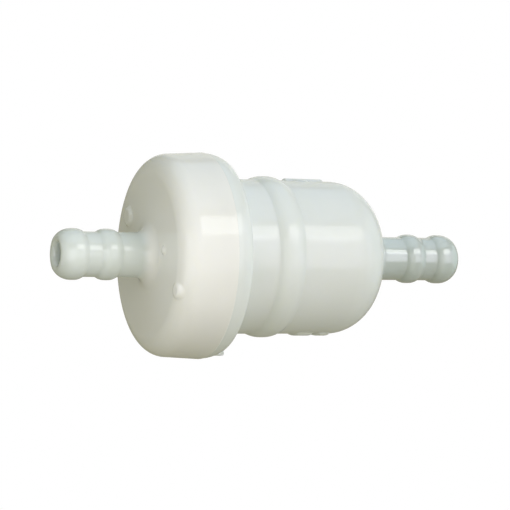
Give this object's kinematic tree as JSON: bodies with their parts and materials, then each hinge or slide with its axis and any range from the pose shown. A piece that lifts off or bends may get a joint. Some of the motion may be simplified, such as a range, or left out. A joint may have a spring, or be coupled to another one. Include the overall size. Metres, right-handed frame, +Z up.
{
  "type": "in-line fuel filter",
  "caption": "Small in-line fuel filter: domed translucent plastic case with a wide welded end cap, a ribbed hose nipple at each end and a pleated paper element inside.",
  "frame": {"origin": "on the flow axis, halfway between the tips of the two hose nipples, which is the centre of the bounding box", "axes": "+X along the flow axis from the end cap's outlet nipple towards the domed end's inlet nipple, so fuel flows along -X; +Z up, through the raised flow arrow; the index tab is on the -Z side"},
  "size_m": [0.0786, 0.037, 0.037],
  "materials": {
    "housing_nylon": "natural translucent nylon, moulded, satin gloss",
    "cap_nylon": "natural translucent nylon, moulded, satin gloss",
    "nitrile_rubber": "matt black nitrile rubber",
    "element_plastic": "white moulded polypropylene",
    "filter_paper": "resin-treated cellulose paper, cured",
    "seam_adhesive": "set hot-melt adhesive",
    "potting_adhesive": "cured plastisol"
  },
  "bodies": {
    "root": {"housing": "housing_nylon", "end_cap": "cap_nylon", "gasket": "nitrile_rubber", "seat_plate": "element_plastic", "end_plate": "element_plastic", "core_tube": "element_plastic", "pleated_paper": "filter_paper", "paper_seam": "seam_adhesive", "seat_potting": "potting_adhesive", "end_potting": "potting_adhesive"}
  },
  "joints": []
}
